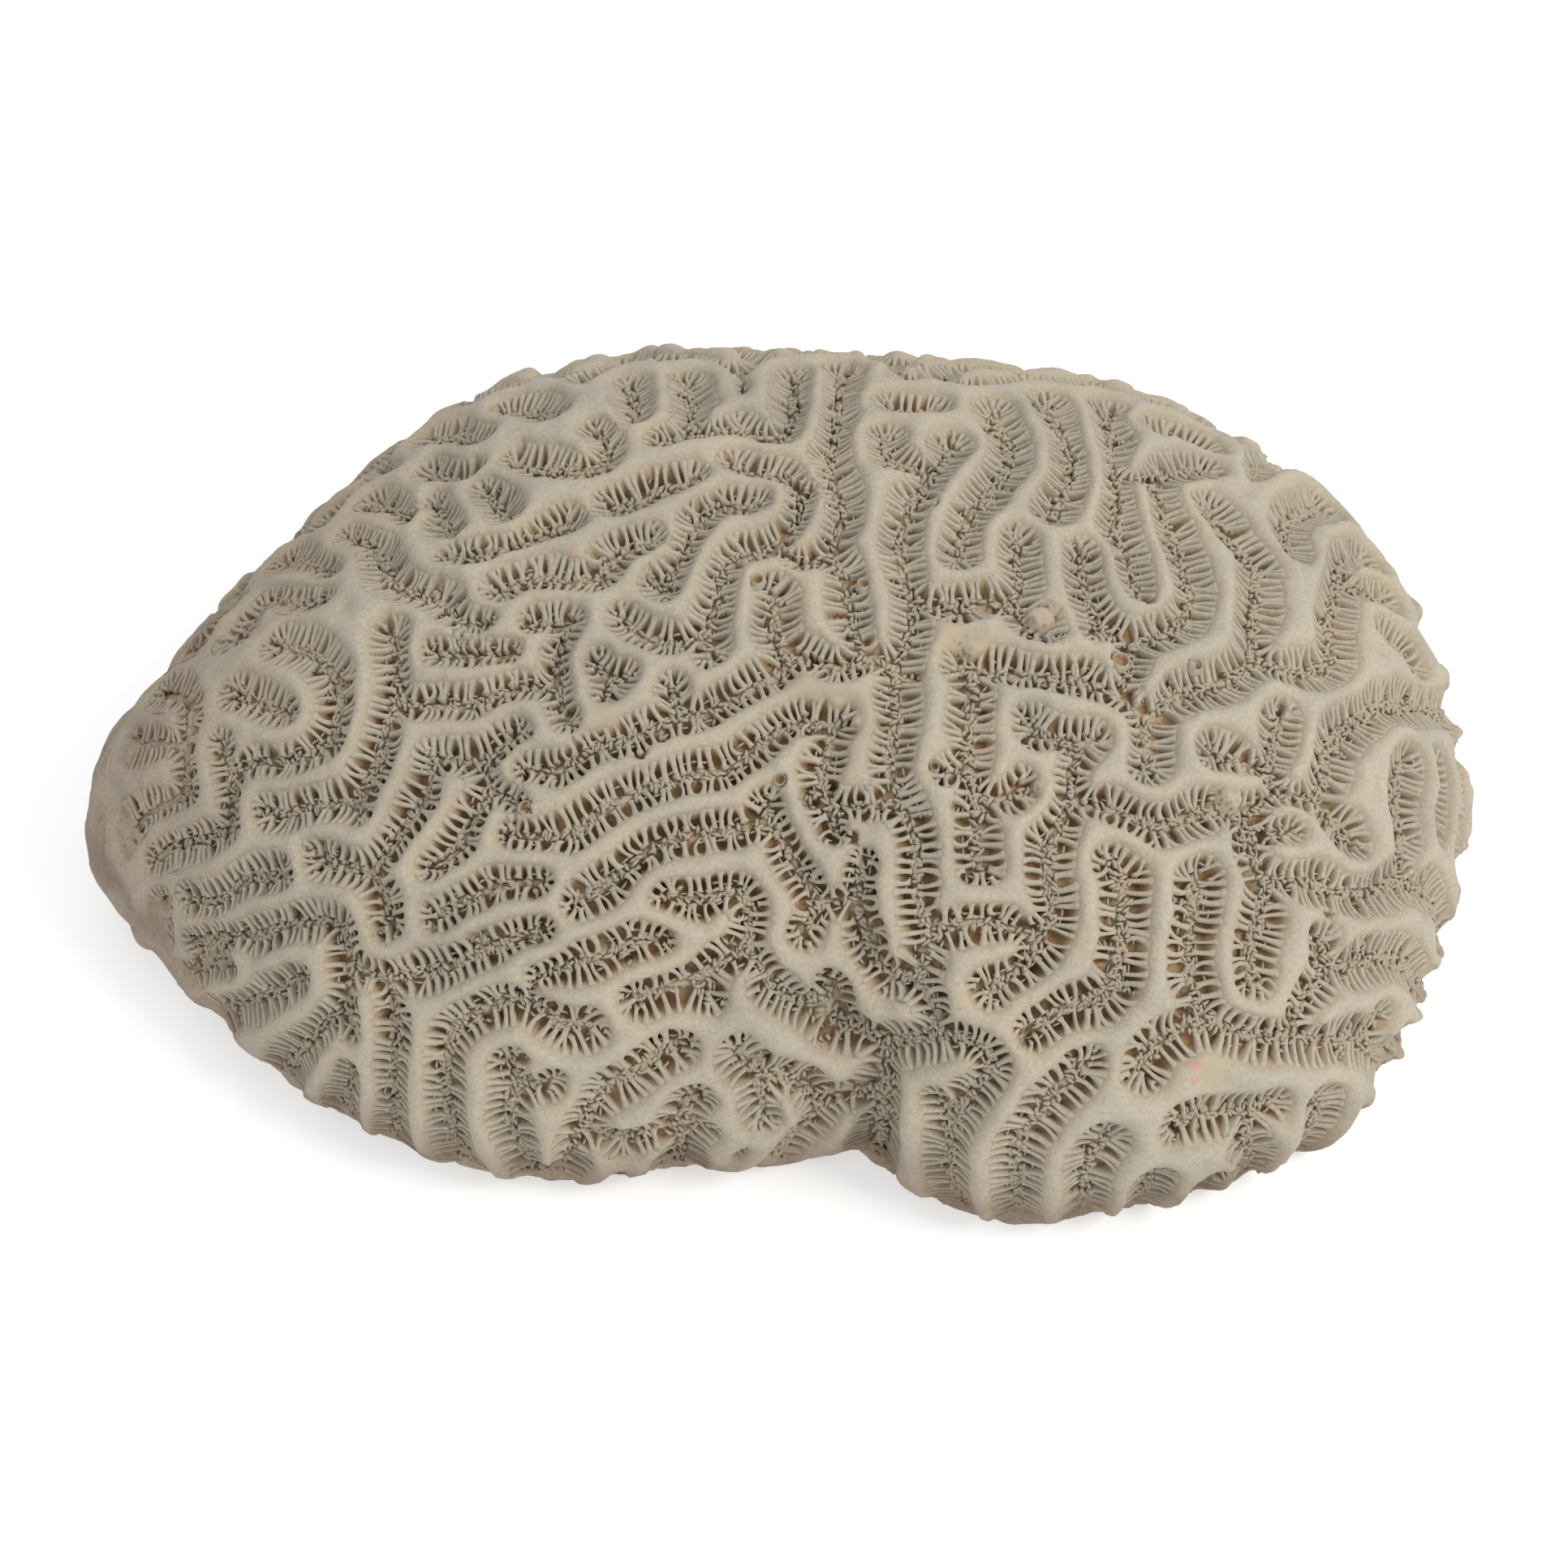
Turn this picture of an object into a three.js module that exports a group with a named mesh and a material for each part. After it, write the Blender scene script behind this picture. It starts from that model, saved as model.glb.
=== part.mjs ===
// A dried brain coral skeleton: one domed colony with two lobes, sawn off flat at its foot.
//
// The skeleton grew as a single piece, so it is one solid. It is a spun dome whose
// radius is then set, azimuth by azimuth, from the plan outline of the colony. A cleft
// between the two lobes notches the front of the rim and fades out up the crown. Below
// its widest level the flank curves in to the flat cut that the coral rests on.
//
// Millimetres, +Z up. The longer side lies along X, and the cleft faces -Y.
// The origin is on the flat cut, under the middle of the coral's bounding box.
import * as THREE from "three";

// Heights.
const HEIGHT = 46; // from the flat cut to the crown
const WAIST_HEIGHT = 10; // the widest level of the flank
const FOOT_INSET = 5; // how far the cut lies inside the widest level
const FOOT_TURN = 62; // degrees that the lower flank turns under before it is cut

// Plan outline at the waist: [azimuth in degrees from +X, distance from the crown's axis].
const OUTLINE = [
  [0, 70.5],
  [22, 68.5],
  [45, 61.5],
  [68, 53],
  [90, 51.5],
  [112, 55],
  [135, 59],
  [158, 62],
  [176, 69.5],
  [188, 75],
  [200, 70],
  [220, 64],
  [240, 58],
  [258, 50.5],
  [276, 53],
  [292, 60],
  [305, 65],
  [320, 70.5],
  [340, 70.5],
];

// The cleft between the lobes.
const CLEFT_AZIMUTH = 276;
const CLEFT_DEPTH = 6;
const CLEFT_WIDTH = 8; // degrees either side in which most of it lies
const CLEFT_STARTS = 0.4; // share of the way from the crown to the waist where it begins

// The crown's curve: height falls off as (1 - s^DOME_POWER)^DOME_ROUNDING out to the waist.
const DOME_POWER = 2.15;
const DOME_ROUNDING = 0.52;

// Low, wide swellings, as growth leaves them: [height, waves round, phase].
const SWELLINGS = [
  [0.7, 3, 0.4],
  [0.5, 5, 2.1],
  [0.35, 7, 4.0],
];

// Mesh steps.
const STEPS_ROUND = 112;
const STEPS_OVER_CROWN = 20;
const STEPS_UNDER_FLANK = 5;

const COLOUR = 0xc9bfa9;

// The distance from the axis to the waist at an azimuth, by a closed cubic through OUTLINE.
function outlineAt(azimuth) {
  const count = OUTLINE.length;
  const station = (i) => {
    const [angle, radius] = OUTLINE[((i % count) + count) % count];
    return [angle + 360 * Math.floor(i / count), radius];
  };
  const slopeAt = (i) => {
    const [[a0, r0], [a1, r1], [a2, r2]] = [i - 1, i, i + 1].map(station);
    const before = (r1 - r0) / (a1 - a0);
    const after = (r2 - r1) / (a2 - a1);
    return (before * (a2 - a1) + after * (a1 - a0)) / (a2 - a0);
  };
  let i = 0;
  while (station(i + 1)[0] <= azimuth) i += 1;
  const [from, r0] = station(i);
  const [to, r1] = station(i + 1);
  const span = to - from;
  const t = (azimuth - from) / span;
  return (
    r0 * (2 * t ** 3 - 3 * t ** 2 + 1) +
    span * slopeAt(i) * (t ** 3 - 2 * t ** 2 + t) +
    r1 * (3 * t ** 2 - 2 * t ** 3) +
    span * slopeAt(i + 1) * (t ** 3 - t ** 2)
  );
}

// How deep the cleft is at an azimuth and a share of the way out from the crown.
function cleftAt(azimuth, share) {
  const across = (azimuth - CLEFT_AZIMUTH) / CLEFT_WIDTH;
  return (
    CLEFT_DEPTH *
    Math.exp(-(across ** 2)) *
    THREE.MathUtils.smoothstep(share, CLEFT_STARTS, 1)
  );
}

// The colony's rings from the crown to the cut. A ring's share is its distance out as a
// part of the waist's, its inset is taken off that in millimetres, and height is above the cut.
function profile() {
  const crown = Array.from({ length: STEPS_OVER_CROWN + 1 }, (_, i) => {
    const share = Math.sin((i / STEPS_OVER_CROWN) * (Math.PI / 2));
    const fall = Math.max(0, 1 - share ** DOME_POWER) ** DOME_ROUNDING;
    return {
      share,
      inset: 0,
      height: WAIST_HEIGHT + (HEIGHT - WAIST_HEIGHT) * fall,
    };
  });
  const turn = THREE.MathUtils.degToRad(FOOT_TURN);
  const flank = Array.from({ length: STEPS_UNDER_FLANK }, (_, i) => {
    const angle = (turn * (i + 1)) / STEPS_UNDER_FLANK;
    return {
      share: 1,
      inset: (FOOT_INSET * (1 - Math.cos(angle))) / (1 - Math.cos(turn)),
      height: WAIST_HEIGHT * (1 - Math.sin(angle) / Math.sin(turn)),
    };
  });
  return [...crown, ...flank, { share: 0, inset: 0, height: 0 }];
}

// The swellings at an azimuth, strongest half way down the crown and nil at both its ends.
function swellingAt(azimuth, share) {
  const angle = THREE.MathUtils.degToRad(azimuth);
  const waves = SWELLINGS.map(([h, n, phase]) => h * Math.sin(n * angle + phase));
  return waves.reduce((sum, wave) => sum + wave, 0) * Math.sin(Math.PI * share);
}

function colony() {
  const rings = profile();
  // The lathe turns about Y from the cut up to the crown, so its faces point outwards.
  const spun = rings.map((r) => new THREE.Vector2(r.share, r.height)).reverse();
  const geometry = new THREE.LatheGeometry(spun, STEPS_ROUND);
  const place = geometry.attributes.position;
  for (let v = 0; v < place.count; v += 1) {
    const ring = rings[rings.length - 1 - (v % rings.length)];
    const azimuth = (360 / STEPS_ROUND) * (Math.floor(v / rings.length) % STEPS_ROUND);
    const waist = outlineAt(azimuth) - cleftAt(azimuth, ring.share);
    const swelling = swellingAt(azimuth, ring.share);
    const radius = ring.share * waist - ring.inset + swelling;
    const angle = THREE.MathUtils.degToRad(azimuth);
    place.setXYZ(v, radius * Math.cos(angle), radius * Math.sin(angle), ring.height);
  }
  return geometry;
}

function centredOnItsFoot(geometry) {
  geometry.computeBoundingBox();
  const middle = geometry.boundingBox.getCenter(new THREE.Vector3());
  geometry.translate(-middle.x, -middle.y, 0);
  return geometry;
}

const coral = new THREE.Mesh(
  centredOnItsFoot(colony()),
  new THREE.MeshStandardMaterial({ color: COLOUR, roughness: 0.92, metalness: 0 }),
);
coral.name = "coral";

const part = new THREE.Group();
part.add(coral);
export default part;
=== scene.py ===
import math
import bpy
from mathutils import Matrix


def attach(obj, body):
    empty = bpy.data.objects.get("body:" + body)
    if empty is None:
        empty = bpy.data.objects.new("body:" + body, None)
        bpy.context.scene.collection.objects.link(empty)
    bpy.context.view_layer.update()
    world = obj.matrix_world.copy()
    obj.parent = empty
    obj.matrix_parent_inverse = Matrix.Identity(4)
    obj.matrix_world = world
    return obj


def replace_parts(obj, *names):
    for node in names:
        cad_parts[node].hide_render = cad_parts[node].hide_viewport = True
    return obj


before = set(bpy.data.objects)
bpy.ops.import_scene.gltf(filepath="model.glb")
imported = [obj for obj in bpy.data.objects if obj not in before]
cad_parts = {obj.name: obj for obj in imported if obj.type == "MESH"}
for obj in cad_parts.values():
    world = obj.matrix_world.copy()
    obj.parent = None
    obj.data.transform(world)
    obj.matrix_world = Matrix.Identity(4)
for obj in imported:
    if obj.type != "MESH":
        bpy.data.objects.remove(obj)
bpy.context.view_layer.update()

from types import SimpleNamespace

import bpy
import numpy as np
from mathutils import Matrix, Vector
from mathutils.bvhtree import BVHTree
from mathutils.kdtree import KDTree

# A dried brain coral skeleton. Its winding valleys are laid over the CAD dome: where the
# colony is seen they follow drawn lines, and round the back they are grown by the same
# rule. Each valley then gets its rows of septa and its spongy columella.
# Lengths are millimetres until a mesh is made.

MM = 0.001
RANDOM = np.random.default_rng(11)

# The view from which the valleys were drawn, which is also the camera's.
TARGET = np.array([0.4, -4.45, 14.0])
ELEVATION = 50.0  # degrees
DISTANCE = 400.0
LENS = 88.5

# The dome as grids of quads: a coarse one to grow the pattern on, a fine one for the ground.
COARSE_STEP = 1.1
FINE_STEP = 0.45
CUT_HEIGHT = 0.02  # points below this lie on the flat cut

# How the pattern is spaced.
PERIOD = 7.4  # from one ridge to the next
HALF = PERIOD / 2
SHOULDER = 2.4  # from a valley's middle to its septa's roots, once stretched as SECTION is
VALLEY_SHARE = 0.7  # of the way from a valley's middle to its ridge's
LEAST_RIDGE = 0.95  # half the width of the narrowest ridge
LEAST_VALLEY = 1.2  # half the width of the narrowest valley
MOST_VALLEY = 2.65  # and of the widest
SEEN_DEPTH = 2.1  # how far below the ridges the drawn middles of the valleys lie

# The middles of the valleys, drawn in the plane through TARGET that faces the camera:
# millimetres to the right of it and up from it.
VALLEYS = [
    [(-4, -17), (-2.7, -18.6), (-1.3, -20.3), (0.3, -21.6), (2.5, -22.5), (4.8, -23.6), (6.5, -25),
     (8.3, -25.7), (10, -26.5), (12, -26.8), (14, -26.2), (16, -25.9), (18, -26.2), (20, -27.2),
     (21.3, -28.6), (20.3, -30.6), (19.2, -32.3), (18, -34), (17.3, -36), (17.2, -38), (17.4, -40),
     (17.8, -42)],
    [(18.3, -33.2), (16.8, -33)],
    [(4.3, -22.8), (4.7, -20.5)],
    [(10.8, -27), (10.9, -29), (10.7, -31), (10.3, -33), (10.2, -35), (10, -37), (9.7, -39)],
    [(-3, -29.8), (-1.2, -30), (0.8, -30.8), (2.5, -31.9), (4.5, -32.4), (6.5, -32), (8.5, -32),
     (10.3, -31.8)],
    [(4, -32.8), (2.5, -34.3), (1.2, -36)],
    [(-4.8, -27.7), (-4, -28.8), (-3, -30), (-2.3, -31.5), (-2, -33.3)],
    [(-1.8, -2.2), (-1.6, -3.8), (-0.6, -5.3), (0.3, -6.8), (1.5, -8.6), (2.8, -10.5), (3.6, -12.3),
     (3, -14), (2, -15.2)],
    [(3.6, -12.3), (5.5, -12.2), (7.3, -12)],
    [(8.2, -8), (7.8, -10), (7.3, -12), (7.9, -14), (8.8, -16), (10, -18.7), (12, -19.8), (14.2, -19.9)],
    [(13.7, -6), (13.6, -8.5), (13.7, -11), (14.4, -13.5), (15.2, -15.3), (14.9, -17.5), (14.3, -19.3),
     (14.7, -21.2), (15.5, -23), (15.8, -24.8), (15.8, -25.9)],
    [(15, -14.8), (17, -14.8), (19, -14.5), (21, -14.4), (23, -14.8), (25, -15.5), (26.5, -15.8)],
    [(27.5, -6), (27.4, -8), (27.4, -10), (27.5, -12), (27.3, -14), (26.5, -15.8), (26, -17.2),
     (24.8, -18.6), (23.3, -19.9), (21.5, -21.1)],
    [(33.8, -8.3), (34.9, -10), (35, -12), (35, -14), (34.9, -16), (34.6, -18), (34.3, -20),
     (33.3, -21.7), (31.5, -22.6), (29.5, -23.2), (27.5, -24.2), (26, -25)],
    [(30.8, -29), (29.8, -30.3), (28.5, -31.7), (27, -33), (25.8, -34.7), (24.7, -36), (24.2, -37.8),
     (24.2, -39.5), (24.3, -41.5), (24.3, -43.5)],
    [(33.2, -36.6), (32, -38.2), (31.3, -40), (31.2, -42), (31.3, -44)],
    [(38, -40.5), (37.3, -42.5)],
    [(36.8, -29.2), (38, -27.5), (39.8, -26), (42, -25), (44, -24.7), (46, -25.3), (48, -26.1),
     (50, -26.2), (52, -25.9), (54, -26.2), (57, -26.5), (60, -26.4)],
    [(60, -26.4), (61, -24.6)],
    [(60, -26.4), (61.5, -28)],
    [(42.7, -10.2), (42.5, -12), (42.3, -14), (42, -16), (41.9, -18), (42, -20), (42.5, -22),
     (42.8, -24.5)],
    [(49.8, -10.3), (49.3, -13.5), (48.8, -15), (48.3, -17), (48.2, -18.8), (48.3, -20.3)],
    [(49.8, -10.3), (51.5, -10), (53.5, -10.1), (55.5, -10.9), (57.5, -11.5), (59.5, -11.3), (61.5, -11),
     (63, -10.3)],
    [(63.8, 1.8), (63.4, 0), (63.2, -2), (63.4, -4), (63.8, -6), (63.8, -8), (63.5, -10)],
    [(55.6, -16.8), (55.7, -18.5), (55, -20.5), (53.8, -22.2), (53, -24), (52.7, -25.8)],
    [(55.8, -18.5), (57.5, -18.8), (59.5, -18.5), (61.5, -18.2), (63.5, -18.5), (65, -20), (65.5, -22)],
    [(49.8, -33.3), (48.3, -34), (46.5, -33.9), (44.5, -34), (42.5, -34.2), (41, -34.8)],
    [(48.3, -34), (47.8, -36), (48, -38)],
    [(55.3, -32.5), (55.2, -34.5), (54.3, -36.5)],
    [(42.8, -42), (44.5, -40.5), (46.5, -39.7)],
    [(64, -10.3), (66, -11.3), (67.3, -13.5), (67.5, -15.5)],
    [(68.5, 5), (69, 3), (69.2, 1), (69.5, -1), (69.8, -3.5), (69.3, -6), (69.3, -8)],
    [(68.5, 5), (67.5, 7), (65.5, 8), (63.5, 8), (61.5, 7.7), (60, 6.8), (58.5, 6), (57, 4.6), (56, 2.8),
     (55.8, 0.8), (54.8, -1.2), (53, -1.6), (51, -1.3)],
    [(55, -1.5), (56, -3.5), (57.3, -5), (58.3, -6.5)],
    [(51, 6.3), (50.7, 4.5), (50.3, 2.5), (50.3, 0.5), (50.3, -1.5)],
    [(44.5, 2.8), (46.5, 2.2), (48.5, 1.5), (50.2, 0.8)],
    [(29.8, -2), (31.5, -2.3), (33.5, -2.5), (35.3, -3.4), (37, -4), (38.7, -4.3), (40.5, -3.9),
     (42.5, -3.3), (44.5, -2.9), (46.5, -3), (48.5, -2.6), (50.3, -1.5)],
    [(46.5, -3.2), (47.7, -5), (48.3, -7), (49.2, -9), (49.8, -10.3)],
    [(37.4, 6.6), (37.6, 4), (37.5, 2.5), (37.2, 1)],
    [(18.6, 12), (20.5, 11.3), (22.5, 11.2), (24.5, 11), (26.5, 10.9), (28.5, 10.7), (30.5, 10.5),
     (32.5, 10), (34.3, 9.2), (36, 8), (37.4, 6.6)],
    [(37.4, 6.6), (38.8, 7.7), (40.5, 8.8), (42.5, 9.5), (44.5, 10), (46.5, 10.9), (48.3, 12),
     (49.8, 12.2), (51.5, 11.7), (53.3, 11.4), (55, 11.4), (56.3, 12.2), (56.6, 14), (56.4, 16),
     (56.8, 18.7), (57.2, 20.7), (57.7, 22.7)],
    [(48.5, 12.2), (48.6, 14), (48.5, 16), (48.7, 18), (48.7, 20.3), (48.5, 22.3), (47.3, 23.8),
     (46, 25.2), (45, 26.8), (43.7, 28)],
    [(62, 15), (63, 14), (64, 13), (64.6, 11.6)],
    [(31, 23), (31, 21), (31.4, 19.3), (31.8, 17.6), (32.4, 16.2), (34, 15.3), (36, 14.4), (38, 14.9),
     (39.7, 15.7), (41.3, 17.2), (41.9, 19.3), (41.5, 21), (41, 22.8), (40.3, 24.7), (39.6, 26.5),
     (38.8, 28.5), (38.3, 30.5)],
    [(36, 14.4), (35.6, 12.4), (35.3, 10)],
    [(57.5, 20.5), (59.7, 19.8), (61.7, 19)],
    [(57.6, 22.8), (59.7, 23)],
    [(19.6, 11.3), (19.9, 9), (19.5, 7), (19.1, 5), (19.1, 3), (19.4, 1), (19.7, -1), (19.8, -3),
     (19.8, -5), (19.8, -7), (20.2, -9)],
    [(20, -1.5), (22, -1.6), (24.3, -1)],
    [(19.3, 1), (17.3, 1.2)],
    [(25.3, 6.1), (26.6, 5), (28.3, 4.4), (30, 4), (30, 2.3), (29.7, 0.8), (29.8, -1.3), (29.2, -3),
     (28.3, -4.8), (27.7, -6.2)],
    [(30, 4), (31.5, 4.2)],
    [(11.5, 12), (11.3, 9.5), (11.4, 8), (11.4, 6), (11.3, 4), (11, 2), (11, 0.3), (11.8, -1.5),
     (12.6, -3.3), (13.3, -5), (13.7, -6)],
    [(2, 6.3), (4.6, 5.7), (4.6, 4), (4.1, 2), (3.9, 0), (4.3, -1.8), (5, -3.5), (5.5, -5.3)],
    [(4.6, -2.3), (6.8, -2.5), (9, -2.4), (11, -2.2), (12.3, -2.6)],
    [(-1, 10.8), (0.5, 12.3), (2, 13), (4, 12.3), (6, 12.2), (8, 12.4), (10, 12.5), (11.7, 12.5),
     (12.6, 14.5), (13.1, 16.5), (13.3, 18.3), (12.6, 20.5), (12.1, 22.5), (12, 24.5), (12.4, 26.5),
     (13.3, 28.7), (14.8, 30.8), (16, 32.5), (17.2, 34.2)],
    [(13.4, 18.2), (15.5, 18.2), (17.5, 18.2), (19.5, 18.6), (21.5, 18.9), (23.5, 18.3), (25, 16.8),
     (26.5, 15.6)],
    [(24, 24.4), (24, 22.5), (24.2, 20.5), (23.8, 18.5)],
    [(-1.2, 20), (-1, 18.5), (-1, 16.5), (-0.5, 14.8), (0.4, 12.8)],
    [(8, 12.6), (7.7, 14.2), (7.2, 15.9), (6.9, 17.5), (6.6, 19.2), (6.4, 20.8), (5.6, 22.3),
     (4.5, 23.6), (5.2, 25), (5.8, 26.6), (5.9, 28.4), (5.3, 30), (4.8, 32), (5, 34), (5.3, 36),
     (5.5, 38), (5.6, 40), (5.7, 42)],
    [(15, 31.3), (13, 32.6), (11, 33.3), (10.3, 35)],
    [(18, 22.8), (18.4, 24.5), (18.7, 26.5), (19.8, 28.5), (21.5, 30.3), (22.9, 32), (23.2, 34),
     (22.9, 35.8), (21.7, 37.8)],
    [(27.6, 27.6), (28.7, 29), (29.5, 31), (29.6, 33), (29, 35), (28.2, 37), (27, 38.8)],
    [(33.6, 38), (33.7, 36.5), (33.6, 34.5), (34, 32.5), (34.4, 30.5), (34.4, 28.7), (34.3, 27),
     (34.5, 25), (35.3, 23.2), (35.8, 21.3), (36.3, 19.8)],
    [(11, 38.5), (13, 38.3), (15, 38.3)],
    [(1.5, 41.5), (1.3, 39.5), (0.8, 37.5), (-0.4, 35.3), (-2.3, 35.9), (-4.3, 36.3), (-6.3, 36.2),
     (-8.3, 36), (-10.3, 35.8), (-12.3, 35.3)],
    [(1.9, 30), (1.6, 28), (0.8, 26), (-0.7, 24.3), (-2.5, 23.5), (-4.5, 23.4), (-6, 22.3), (-6.6, 20.5),
     (-7, 18.3), (-7.8, 16.5), (-8.3, 14.8)],
    [(-28, -5.3), (-25.5, -5.5), (-23, -5.5), (-21, -4.6), (-19, -3), (-17, -1.8), (-14, -0.5),
     (-11, 0.2), (-8.5, 0.9), (-6, 1.3), (-3.8, 2.8), (-2, 4.3), (-0.3, 5.5), (2, 6.3)],
    [(-21.5, -11.9), (-19.8, -11.2), (-18, -10), (-16, -8.6), (-14, -7), (-12, -6), (-10, -5.3),
     (-7, -5), (-4.5, -4.7), (-1.9, -3.8)],
    [(-26.5, 1.2), (-24.3, 1.2), (-22.5, 1.8), (-20.8, 3), (-19, 3.9), (-17, 4.3), (-15, 5.1),
     (-13, 6.2), (-11, 6.9), (-8.8, 7.1), (-6.5, 8.2), (-4.5, 9.1), (-2.8, 10.2), (-1, 10.8)],
    [(-10.7, 7.2), (-11.5, 9.3)],
    [(-19.2, 12), (-18, 10.8), (-16.6, 10.9)],
    [(-18, 10.8), (-18.3, 9.2)],
    [(-38, 8.1), (-35.5, 8), (-33, 8), (-31, 8.5), (-29, 9.3), (-27, 9.7), (-25, 9.8), (-23.3, 9.4)],
    [(-23.5, 13), (-23.4, 11), (-23.2, 9), (-22.8, 7.3), (-22, 6)],
    [(-16.2, 16.3), (-14.8, 15), (-13, 14.5), (-11, 14.3), (-9.5, 14.6), (-8.3, 14.8), (-8, 13)],
    [(-25.2, -10.2), (-27.5, -10.3), (-29.5, -10.6), (-31.5, -11.5), (-33.3, -12), (-35, -13.3)],
    [(-25.3, -15.2), (-27, -15.6), (-29, -16.3), (-31, -17.2), (-33, -18.2), (-35, -19), (-37, -19.6),
     (-39, -20), (-40.8, -20.2), (-43, -19.7), (-44.7, -18.3)],
    [(-25.3, -19.7), (-23, -19), (-21, -18.4), (-19, -17.8), (-17, -17), (-15.2, -16.3), (-13.5, -16)],
    [(-20.3, -24.8), (-22, -25), (-23.5, -24.3), (-25, -23.2), (-26.5, -22.2), (-28.5, -22.3),
     (-30.5, -23), (-32.5, -24), (-34, -25.5), (-34.8, -27.5), (-35, -29.5), (-35, -31.5),
     (-34.8, -33.5)],
    [(-28.2, -28.8), (-27.8, -30), (-27.7, -31.5), (-28.2, -33.3), (-28.2, -35), (-27.8, -36)],
    [(-27.6, -31), (-26, -31), (-24.7, -30.8)],
    [(-11, -26.8), (-12.8, -27.8), (-14.8, -29.2), (-16.8, -30.4), (-18.7, -31.5), (-20, -33),
     (-20.7, -35), (-19, -36.2), (-17, -36.3), (-15, -36.2), (-13, -35.9), (-11.2, -35.4), (-9.3, -35.2)],
    [(-20.7, -35.3), (-22, -37.5)],
    [(-15.3, -22), (-13.5, -21.5), (-11.5, -20.9), (-9.5, -20.3), (-7.5, -19.3), (-5.5, -18), (-4, -17)],
    [(-12.2, -11.5), (-10.5, -12), (-8.5, -11.9), (-6.5, -11.5), (-4.8, -11.4), (-3.8, -12.7),
     (-3.7, -14.5), (-3.9, -16.8)],
    [(-40.6, -20.3), (-40.3, -22), (-40.2, -24), (-40, -26), (-40.2, -28), (-40.3, -30), (-40.3, -32),
     (-40.3, -34), (-40.4, -36.3)],
    [(-46.5, -14.3), (-45.2, -15.2), (-45.2, -16.5), (-44.7, -18.3), (-44.8, -20.5), (-44.8, -22.5),
     (-44.7, -24.8)],
    [(-44.8, -22.8), (-46.3, -23.8), (-47.5, -25.4), (-48.8, -26.6), (-50.3, -28), (-51.2, -29.8)],
    [(-44.5, -29.3), (-44.7, -31), (-45, -33)],
    [(-49.8, -20.2), (-51.5, -21), (-53.5, -21.7), (-55.2, -22.3)],
    [(-46.5, -14.3), (-48.5, -14.3), (-50.5, -14.5), (-52.5, -15), (-54.5, -15.6), (-56.5, -15.6),
     (-58.5, -15.6), (-60.5, -16)],
    [(-60.5, -19), (-58.5, -18.7), (-56.5, -18.5)],
    [(-51.7, -9.4), (-53.7, -9.6), (-55.5, -10), (-57, -11.6), (-58.8, -12.3), (-60.8, -12)],
    [(-63, -12.3), (-63, -14.5)],
    [(-40, 15.3), (-39.9, 13.5), (-39.8, 11.5), (-39.7, 9.7), (-40.3, 8), (-41, 6), (-41.3, 4.3),
     (-41.7, 2.5), (-42.7, 0.8), (-43.6, -1), (-43.5, -3)],
    [(-38, 8.1), (-40.2, 8)],
    [(-51.3, 14), (-49.5, 13.6), (-47.7, 12.4), (-46.4, 10.5), (-46, 8.5), (-46, 6.5), (-46.8, 4.6),
     (-48.3, 3.2), (-50.3, 2.4), (-52.3, 2.1), (-54.3, 1.9), (-56.7, 1.2)],
    [(-57.5, 3.8), (-57, 1.8), (-56.7, 0), (-56.7, -2), (-56.8, -4.5), (-58.5, -5.4), (-60.5, -6),
     (-62.5, -6.5), (-64, -7.5)],
    [(-53.3, -2.7), (-51.5, -2.9), (-49.5, -2.6), (-47.5, -2.3), (-45.5, -2), (-43.7, -1.8)],
    [(-47.8, -7.8), (-46, -8.2), (-44.3, -8.7), (-42.8, -9), (-41.2, -7.5), (-40, -5.8), (-39, -4.3),
     (-38, -2.8), (-36.9, -1), (-36.4, 0.8), (-36, 2.3), (-34, 2.3), (-32, 2.2), (-30, 2.7), (-28.7, 4),
     (-27.5, 5)],
    [(-31, 2), (-30.4, -0.3), (-31, -2), (-32, -3.8), (-33, -5.5), (-34.3, -7.3), (-35.7, -8.6)],
    [(-30.4, -0.5), (-28.8, -1.5), (-27.5, -2.2)],
    [(-42.8, -9), (-41.5, -10.7), (-41, -12.5), (-41, -14.2)],
    [(-61, 7), (-61, 5), (-61.3, 3), (-61.3, 1), (-61, -1)],
    [(-66, 3.8), (-64, 4), (-61.5, 3.8)],
    [(-63.5, 8.7), (-61.5, 8.5)],
    [(-56, 8.6), (-54.3, 8.3), (-52.7, 7.7), (-51.5, 7)],
    [(-56, 14.5), (-54.5, 16.2), (-52.8, 17.8), (-50, 18.4), (-48, 18.5)],
    [(-66.5, -5), (-65.3, -3.3), (-63.5, -2.3), (-61.5, -1.5)],
    [(-26, 16), (-24.3, 16.3), (-22.5, 16.2)],
    [(-36, 13.3), (-34, 13.3), (-32, 13.2), (-30, 13.2), (-28, 13.2)],
    [(-38.5, 19.5), (-36.5, 19), (-35, 18.3), (-34, 17)],
    [(-2.5, 28.7), (-4.5, 28.7), (-6.5, 28.6), (-8.3, 27.5), (-9.5, 25.7), (-10.3, 23.7), (-11.3, 21.7),
     (-12.5, 19.8)],
    [(-17.8, 28.2), (-15.8, 28.8), (-13.8, 29.8), (-11.5, 30.4), (-9, 31.1)],
    [(-13.5, 24.7), (-15, 24.5), (-16.8, 24), (-18.2, 22.8), (-19.2, 21.3), (-20.5, 21), (-22.5, 21),
     (-24.5, 21.2), (-26.5, 21.1), (-28.3, 20.3), (-29.2, 19.3)],
    [(-34, 23.2), (-32, 23.4), (-30, 23.8), (-28, 24.2), (-26, 25), (-24, 26), (-22, 26.4)],
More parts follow.
